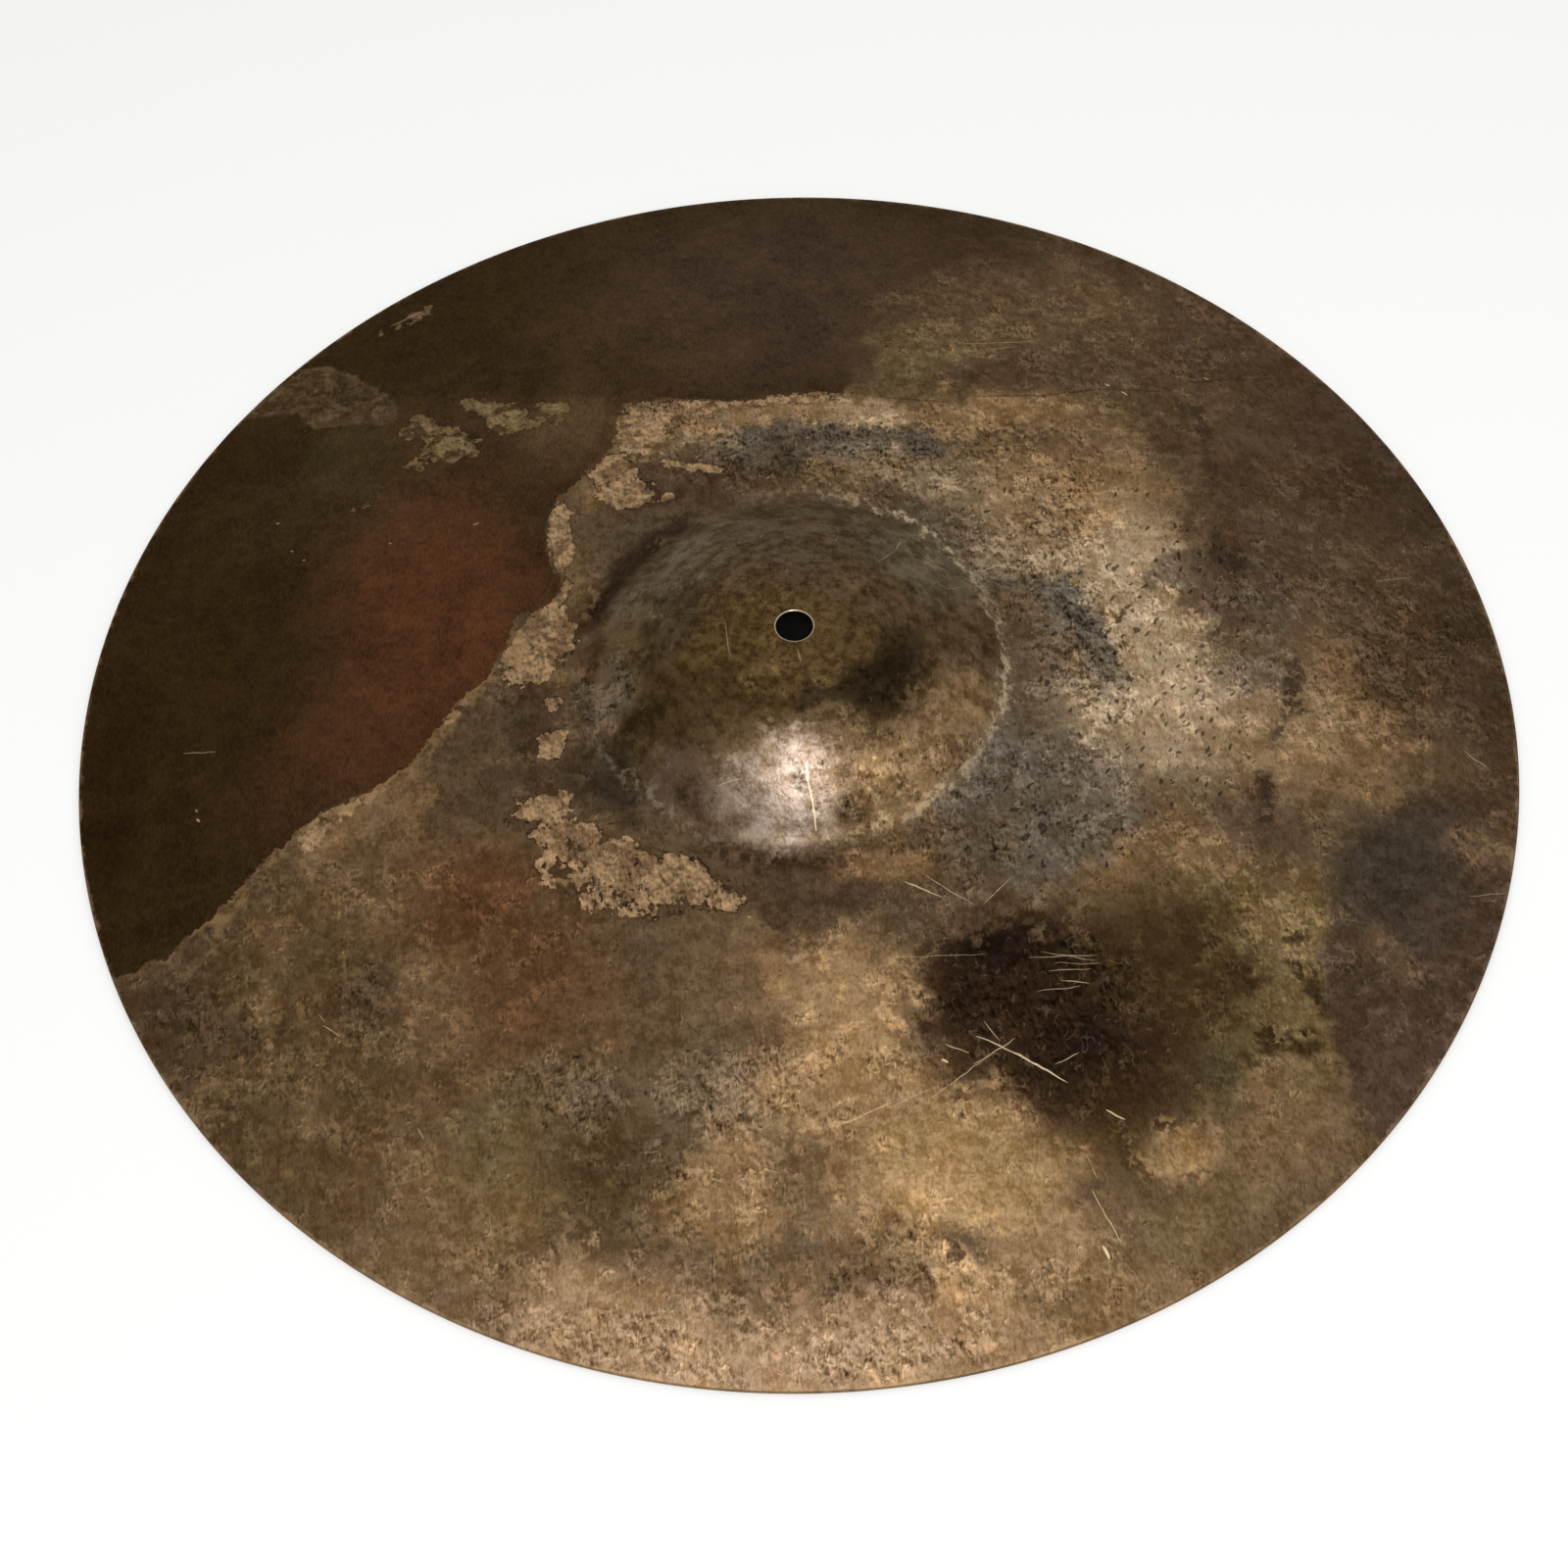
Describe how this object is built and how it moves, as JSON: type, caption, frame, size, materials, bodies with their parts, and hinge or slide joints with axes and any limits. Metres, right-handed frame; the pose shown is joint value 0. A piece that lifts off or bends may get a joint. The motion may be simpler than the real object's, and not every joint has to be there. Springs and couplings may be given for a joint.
{
  "type": "cymbal",
  "caption": "Large ride cymbal: one hammered, unlathed bronze plate with a raised bell, a shallow bow and a centre hole for a stand.",
  "frame": {"origin": "on the centre hole's axis, in the plane that the edge rests on", "axes": "+Z along the hole's axis, from the hollow side towards the top of the bell; X and Y lie in the resting plane, with +Y away from the player"},
  "size_m": [0.508, 0.508, 0.0458],
  "materials": {
    "raw_bronze": "raw cast bronze with a mottled brown patina, satin, worn bright along the edge and round the hole"
  },
  "bodies": {
    "root": {"cymbal": "raw_bronze"}
  },
  "joints": []
}
